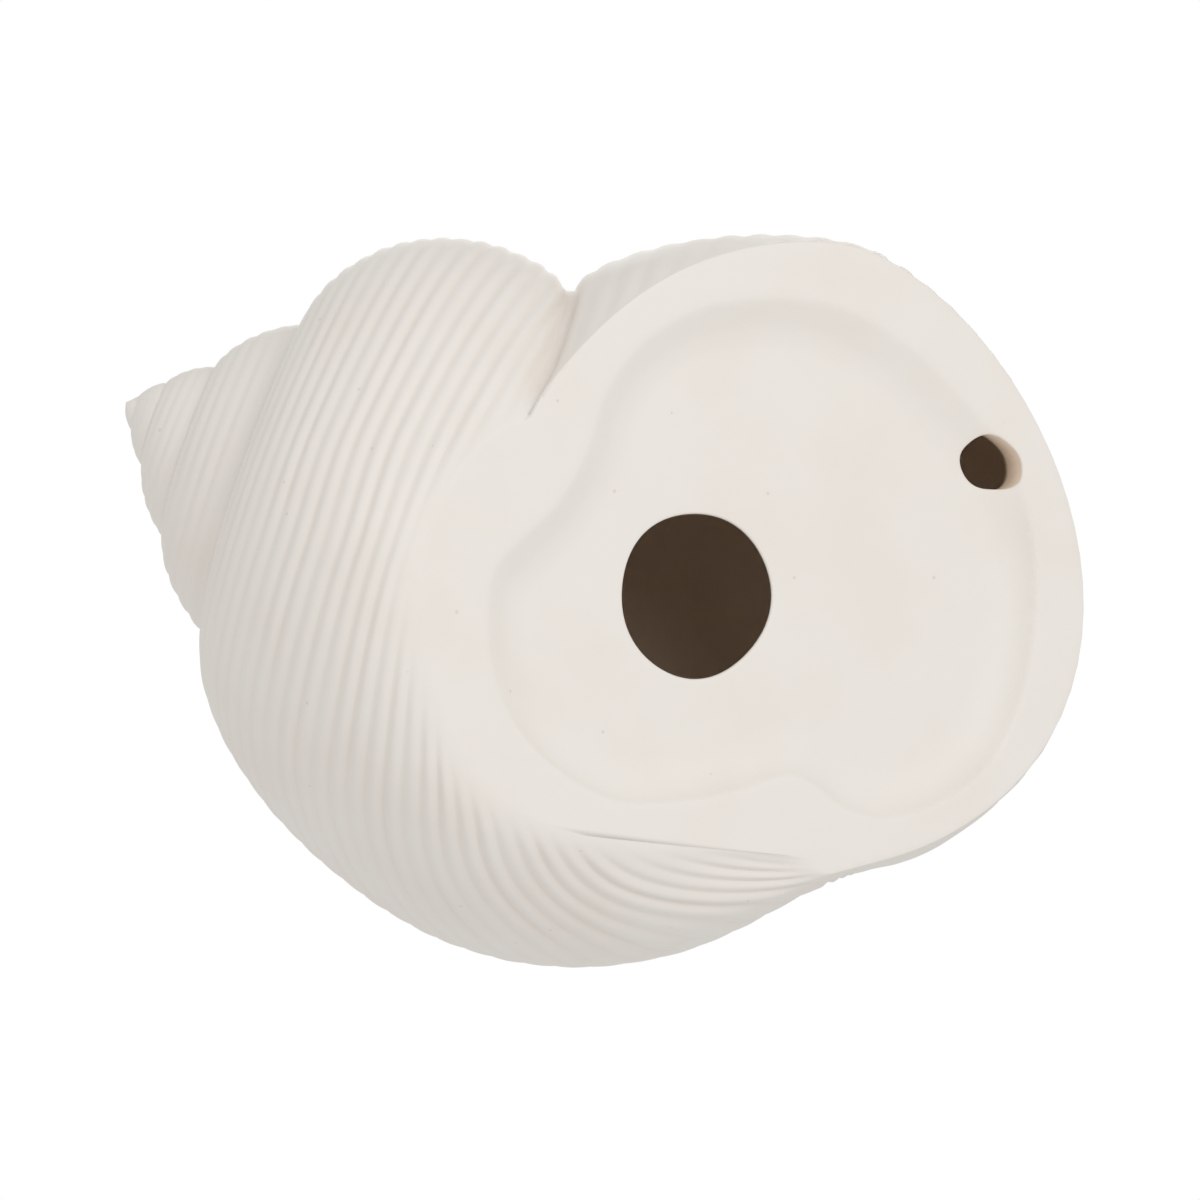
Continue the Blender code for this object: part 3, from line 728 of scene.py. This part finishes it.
def cast_mesh(sizes):
    """Whole shell as one closed mesh: the outside and the foot in material 0, and the hollow
    in material 1."""
    relief = sizes.rib_relief / MILLIMETRE
    rounding = sizes.foot_rounding / MILLIMETRE
    lip = sizes.hole_rounding / MILLIMETRE
    crease = sizes.crease_depth / MILLIMETRE
    points, groove, corners = ribbed_skin(relief, rounding, crease)
    skin = mesh_of(points, clean_faces(corners))
    # depth in the grooves and the crease, read by the glaze for its painted shade
    attribute = skin.attributes.new("groove", "FLOAT", "POINT")
    attribute.data.foreach_set("value", groove)
    bm = bmesh.new()
    bm.from_mesh(skin)
    bmesh.ops.delete(bm, geom=[vert for vert in bm.verts if not vert.link_faces],
                     context="VERTS")
    bmesh.ops.remove_doubles(bm, verts=bm.verts, dist=MERGE * MILLIMETRE)
    bmesh.ops.holes_fill(bm, sides=0, edges=[
        edge for edge in bm.edges if edge.is_boundary and edge.verts[0].co.z > MILLIMETRE])

    foot = FootFace()
    necks = [hole_neck(hole, lip, sides, foot)
             for hole, sides in zip((CASTING_HOLE, VENT_HOLE), HOLE_SIDES)]
    rim = open_edges_at(bm, 0.0)
    bm.from_mesh(mesh_of(*foot_sheet(*rim, [neck[0, :, :2] for neck in necks], foot)))
    for neck in necks:
        faces = tube_faces(len(neck), neck.shape[1])
        bm.from_mesh(with_material(mesh_of(neck.reshape(-1, 3), faces),
                                   np.arange(len(faces)) >= LIP_RINGS * neck.shape[1]))

    level = PANEL_DEPTH + WALL
    bm.from_mesh(hollow_mesh(level))
    start, end = open_edges_at(bm, level)
    flat, faces = flat_triangles(start, end, np.empty((0, 2)))
    floor = mesh_of(np.column_stack([flat, np.full(len(flat), level)]), faces)
    bm.from_mesh(with_material(floor, np.ones(len(faces))))
    bmesh.ops.remove_doubles(bm, verts=bm.verts, dist=JOINING * MILLIMETRE)
    drop_slivers(bm)
    bmesh.ops.triangulate(bm, faces=[face for face in bm.faces if len(face.verts) > 4])
    bmesh.ops.recalc_face_normals(bm, faces=bm.faces)
    mesh = bpy.data.meshes.new("bonnet_shell")
    bm.to_mesh(mesh)
    bm.free()
    mesh.shade_smooth()
    return mesh


def linear(hex_colour):
    """Linear colour, with alpha, from an sRGB hex value."""
    channels = [int(hex_colour[i:i + 2], 16) / 255 for i in (1, 3, 5)]
    return tuple(c / 12.92 if c <= 0.04045 else ((c + 0.055) / 1.055) ** 2.4
                 for c in channels) + (1.0,)


def opaque(colour_value):
    """The colour with a full alpha."""
    return tuple(colour_value) + (1.0,)


def add_node(tree, kind, settings=None, links=None):
    """Adds a node, sets its properties and unlinked inputs, and links its inputs, which go by
    name or by number."""
    node = tree.nodes.new(kind)
    for name, value in (settings or {}).items():
        if isinstance(name, str) and hasattr(node, name):
            setattr(node, name, value)
        else:
            node.inputs[name].default_value = value
    for name, output in (links or {}).items():
        tree.links.new(output, node.inputs[name])
    return node


def new_material(name):
    """New node material with its Principled shader."""
    material = bpy.data.materials.new(name)
    material.use_nodes = True
    return material, material.node_tree, material.node_tree.nodes["Principled BSDF"]


def matt_glazed_earthenware(finish):
    """Slip-cast earthenware under a thin matt white glaze: a soft even white, a little darker and
    warmer in the grooves and the last suture's crease as painted shade, with a few tiny clay
    specks and a faint hand-sponged unevenness."""
    material, tree, shader = new_material("matt_glazed_earthenware")
    where = add_node(tree, "ShaderNodeTexCoord").outputs["Object"]
    # clouds about 30 mm across: uneven glaze
    clouds = add_node(tree, "ShaderNodeTexNoise",
                      {"Scale": 33.0, "Detail": 3.0, "Roughness": 0.5}, {"Vector": where})
    cloud_share = add_node(tree, "ShaderNodeMapRange",
                           {"From Min": 0.42, "From Max": 0.68, "To Min": 0.0, "To Max": 0.3},
                           {"Value": clouds.outputs["Fac"]})
    # painted shade: the glaze's colour is mixed towards the darker, warmer tone by the depth in a
    # groove or the last suture's crease; the clouds add uneven glaze on top of it
    groove = add_node(tree, "ShaderNodeAttribute", {"attribute_name": "groove"})
    share = add_node(tree, "ShaderNodeMath",
                     {"operation": "MULTIPLY_ADD", "use_clamp": True, 1: 0.35},
                     {0: groove.outputs["Fac"], 2: cloud_share.outputs["Result"]})
    tone = add_node(tree, "ShaderNodeMix",
                    {"data_type": "RGBA", 6: opaque(finish.glaze), 7: opaque(finish.cloudy_glaze_and_groove_shade)},
                    {0: share.outputs[0]})
    # specks up to 1 mm across, in cells of 11 mm: only those near the surface show
    cells = add_node(tree, "ShaderNodeTexVoronoi", {"Scale": 90.0, "Randomness": 1.0},
                     {"Vector": where})
    speck = add_node(tree, "ShaderNodeMapRange",
                     {"From Min": 0.03, "From Max": 0.05, "To Min": 0.35, "To Max": 0.0},
                     {"Value": cells.outputs["Distance"]})
    speckled = add_node(tree, "ShaderNodeMix", {"data_type": "RGBA", 7: opaque(finish.speck)},
                        {0: speck.outputs["Result"], 6: tone.outputs[2]})
    tree.links.new(speckled.outputs[2], shader.inputs["Base Color"])
    # grain about 1 mm across, and sponge marks about 10 mm across
    grain = add_node(tree, "ShaderNodeTexNoise", {"Scale": 900.0, "Detail": 4.0},
                     {"Vector": where})
    sponge = add_node(tree, "ShaderNodeTexNoise", {"Scale": 90.0, "Detail": 2.0},
                      {"Vector": where})
    low = add_node(tree, "ShaderNodeBump", {"Strength": 0.35, "Distance": 0.0006},
                   {"Height": sponge.outputs["Fac"]})
    fine = add_node(tree, "ShaderNodeBump", {"Strength": 0.3, "Distance": 0.0001},
                    {"Height": grain.outputs["Fac"], "Normal": low.outputs["Normal"]})
    tree.links.new(fine.outputs["Normal"], shader.inputs["Normal"])
    rough = add_node(tree, "ShaderNodeMapRange",
                     {"From Min": 0.3, "From Max": 0.7, "To Min": 0.5, "To Max": 0.62},
                     {"Value": clouds.outputs["Fac"]})
    tree.links.new(rough.outputs["Result"], shader.inputs["Roughness"])
    shader.inputs["IOR"].default_value = 1.5
    shader.inputs["Specular IOR Level"].default_value = 0.35
    return material


def raw_cast_clay(finish):
    """Unglazed fired clay inside the cast: pale cream, patchy where the slip ran. Light that
    enters by the two holes turns brown as it bounces, so the hollow reads as dark brown."""
    material, tree, shader = new_material("raw_cast_clay")
    where = add_node(tree, "ShaderNodeTexCoord").outputs["Object"]
    # patches about 20 mm across
    patches = add_node(tree, "ShaderNodeTexNoise", {"Scale": 50.0, "Detail": 4.0},
                       {"Vector": where})
    clay, dark_clay = opaque(finish.raw_clay), opaque(finish.raw_clay_dark)
    tone = add_node(tree, "ShaderNodeMix", {"data_type": "RGBA", 6: clay, 7: dark_clay},
                    {0: patches.outputs["Fac"]})
    tree.links.new(tone.outputs[2], shader.inputs["Base Color"])
    shader.inputs["Roughness"].default_value = 0.9
    shader.inputs["Specular IOR Level"].default_value = 0.2
    return material


def colour(name, description, hex_colour):
    """Colour property with an sRGB default."""
    return bpy.props.FloatVectorProperty(name=name, description=description, size=3, min=0, max=1,
                                         subtype="COLOR", default=linear(hex_colour)[:3])


def length(name, description, default, highest):
    """Length property in metres."""
    return bpy.props.FloatProperty(name=name, description=description, default=default, min=0,
                                   max=highest, precision=5, unit="LENGTH", subtype="DISTANCE")


class ShellSizes(bpy.types.PropertyGroup):
    """Sizes of the cast shell."""
    rib_relief: length("Rib relief", "Height of a rib's crest over the mean surface",
                       0.42 * MILLIMETRE, 0.002)
    foot_rounding: length("Foot rounding", "Softness of the edge where the foot is ground flat",
                          0.5 * MILLIMETRE, 0.003)
    hole_rounding: length("Hole rounding", "Radius at the lower edge of the holes",
                          0.6 * MILLIMETRE, 0.003)
    crease_depth: length("Crease depth", "How far the last suture is drawn in",
                         1.3 * MILLIMETRE, 0.003)


class CeramicFinish(bpy.types.PropertyGroup):
    """Colours of the glaze and the clay."""
    glaze: colour("Glaze", "Main colour of the matt glaze", "#EDE8E1")
    # painted shade in the grooves and the crease, and uneven glaze in the clouds, share this
    # darker, warmer colour
    cloudy_glaze_and_groove_shade: colour("Cloudy glaze and groove shade", "Warmer glaze in clouds, and painted shade in grooves and the crease", "#E8DDD3")
    speck: colour("Speck", "Tiny specks in the glaze", "#C4B9AA")
    raw_clay: colour("Raw clay", "Lighter clay inside the hollow", "#FAEAD8")
    raw_clay_dark: colour("Dark raw clay", "Darker clay inside the hollow", "#F6E0C8")


class StudioStage(bpy.types.PropertyGroup):
    """Floor and lights of the studio."""
    floor: colour("Floor", "Colour of the studio floor", "#F4F3F1")
    key_power: bpy.props.FloatProperty(name="Key light", description="Power of the main light",
                                       default=3.6, min=0, subtype="POWER", unit="POWER")
    upper_power: bpy.props.FloatProperty(name="Upper light", description="Power of the top light",
                                         default=2.5, min=0, subtype="POWER", unit="POWER")
    surround: bpy.props.FloatProperty(name="Surround", description="Light of the white surround",
                                      default=0.74, min=0)


class BONNETSHELL_OT_cast_body(bpy.types.Operator):
    """Make the cast ceramic shell body"""
    bl_idname = "bonnet_shell.cast_body"
    bl_label = "Cast shell body"

    def execute(self, context):
        scene = context.scene
        body = bpy.data.objects.new("bonnet_shell", cast_mesh(scene.shell_sizes))
        scene.collection.objects.link(body)
        body.data.materials.append(matt_glazed_earthenware(scene.ceramic_finish))
        body.data.materials.append(raw_cast_clay(scene.ceramic_finish))
        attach(body, "root")
        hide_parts("ceramic_shell")
        return {"FINISHED"}


def floor_material(colour_value):
    """Matt painted board: a plain pale floor. It is clear from below, where the camera is."""
    material, tree, shader = new_material("pale_floor")
    shader.inputs["Base Color"].default_value = opaque(colour_value)
    shader.inputs["Roughness"].default_value = 0.9
    facing = add_node(tree, "ShaderNodeNewGeometry")
    clear = add_node(tree, "ShaderNodeBsdfTransparent")
    mix = add_node(tree, "ShaderNodeMixShader", links={
        0: facing.outputs["Backfacing"], 1: shader.outputs[0], 2: clear.outputs[0]})
    tree.links.new(mix.outputs[0], tree.nodes["Material Output"].inputs["Surface"])
    return material


def white_surround(strength):
    """World that is plain white behind the object and lights it with the given strength."""
    world = bpy.data.worlds.new("white_surround")
    world.use_nodes = True
    tree = world.node_tree
    lit = tree.nodes["Background"]
    lit.inputs["Color"].default_value = WHITE
    lit.inputs["Strength"].default_value = strength
    seen = add_node(tree, "ShaderNodeBackground", {"Color": WHITE, "Strength": 1.0})
    path = add_node(tree, "ShaderNodeLightPath")
    mix = add_node(tree, "ShaderNodeMixShader", links={
        0: path.outputs["Is Camera Ray"], 1: lit.outputs[0], 2: seen.outputs[0]})
    tree.links.new(mix.outputs[0], tree.nodes["World Output"].inputs["Surface"])
    return world


def soft_light(name, offset, size, power):
    """Round area light, offset from the middle of the object and pointing at it."""
    data = bpy.data.lights.new(name, "AREA")
    data.shape = "DISK"
    data.size = size
    data.energy = power
    light = bpy.data.objects.new(name, data)
    light.location = LIGHT_TARGET + offset
    light.rotation_euler = (-offset).to_track_quat("-Z", "Y").to_euler()
    bpy.context.scene.collection.objects.link(light)


class BONNETSHELL_OT_studio(bpy.types.Operator):
    """Make the floor, the lights and the camera below the foot"""
    bl_idname = "bonnet_shell.studio"
    bl_label = "Studio"

    def execute(self, context):
        scene = context.scene
        settings = scene.studio_stage
        corners = [(x * FLOOR_HALF, y * FLOOR_HALF, FLOOR_LEVEL)
                   for x, y in ((-1, -1), (1, -1), (1, 1), (-1, 1))]
        mesh = bpy.data.meshes.new("floor")
        mesh.from_pydata(corners, [], [(0, 1, 2, 3)])
        floor = bpy.data.objects.new("floor", mesh)
        floor.data.materials.append(floor_material(settings.floor))
        # the surround lights the underside as if the floor weren't there
        for ray in ("diffuse", "glossy", "shadow", "transmission"):
            setattr(floor, "visible_" + ray, False)
        scene.collection.objects.link(floor)

        scene.world = white_surround(settings.surround)
        scene.view_settings.view_transform = "Standard"

        c, s = np.cos(VIEW_ANGLE), np.sin(VIEW_ANGLE)
        right, up, back = Vector((c, 0, -s)), Vector((0, -1, 0)), Vector((-s, 0, -c))
        key = KEY_OFFSET[0] * right + KEY_OFFSET[1] * up + KEY_OFFSET[2] * back
        soft_light("key_light", key, KEY_SIZE, settings.key_power)
        # behind the object as the camera sees it: it models the whorls seen from above
        soft_light("upper_light", UPPER_OFFSET, UPPER_SIZE, settings.upper_power)

        data = bpy.data.cameras.new("camera")
        data.type = "ORTHO"
        data.ortho_scale = FRAME_WIDTH
        data.dof.use_dof = False
        camera = bpy.data.objects.new("camera", data)
        turn = Matrix((right, up, back)).transposed().to_4x4()
        camera.matrix_world = Matrix.Translation(FRAME_CENTRE + back * VIEW_DISTANCE) @ turn
        scene.collection.objects.link(camera)
        scene.camera = camera
        return {"FINISHED"}


class BONNETSHELL_PT_panel(bpy.types.Panel):
    """Lists the makers of the shell and the studio with their sizes and colours"""
    bl_idname = "BONNETSHELL_PT_panel"
    bl_label = "Bonnet Shell"
    bl_space_type = "VIEW_3D"
    bl_region_type = "UI"
    bl_category = "Bonnet Shell"

    def draw(self, context):
        for operator, groups in MAKERS:
            box = self.layout.box()
            for group in groups:
                settings = getattr(context.scene, group)
                for name in settings.bl_rna.properties.keys():
                    if name not in ("rna_type", "name"):
                        box.prop(settings, name)
            box.operator(operator)


MAKERS = (
    ("bonnet_shell.cast_body", ("shell_sizes", "ceramic_finish")),
    ("bonnet_shell.studio", ("studio_stage",)),
)
GROUPS = {"shell_sizes": ShellSizes, "ceramic_finish": CeramicFinish, "studio_stage": StudioStage}
CLASSES = (ShellSizes, CeramicFinish, StudioStage, BONNETSHELL_OT_cast_body,
           BONNETSHELL_OT_studio, BONNETSHELL_PT_panel)


def register():
    for each in CLASSES:
        bpy.utils.register_class(each)
    for name, group in GROUPS.items():
        setattr(bpy.types.Scene, name, bpy.props.PointerProperty(type=group))


def unregister():
    for name in GROUPS:
        delattr(bpy.types.Scene, name)
    for each in reversed(CLASSES):
        bpy.utils.unregister_class(each)


def main():
    """Registers the add-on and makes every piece."""
    register()
    bpy.ops.bonnet_shell.cast_body()
    bpy.ops.bonnet_shell.studio()


if __name__ == "__main__":
    main()
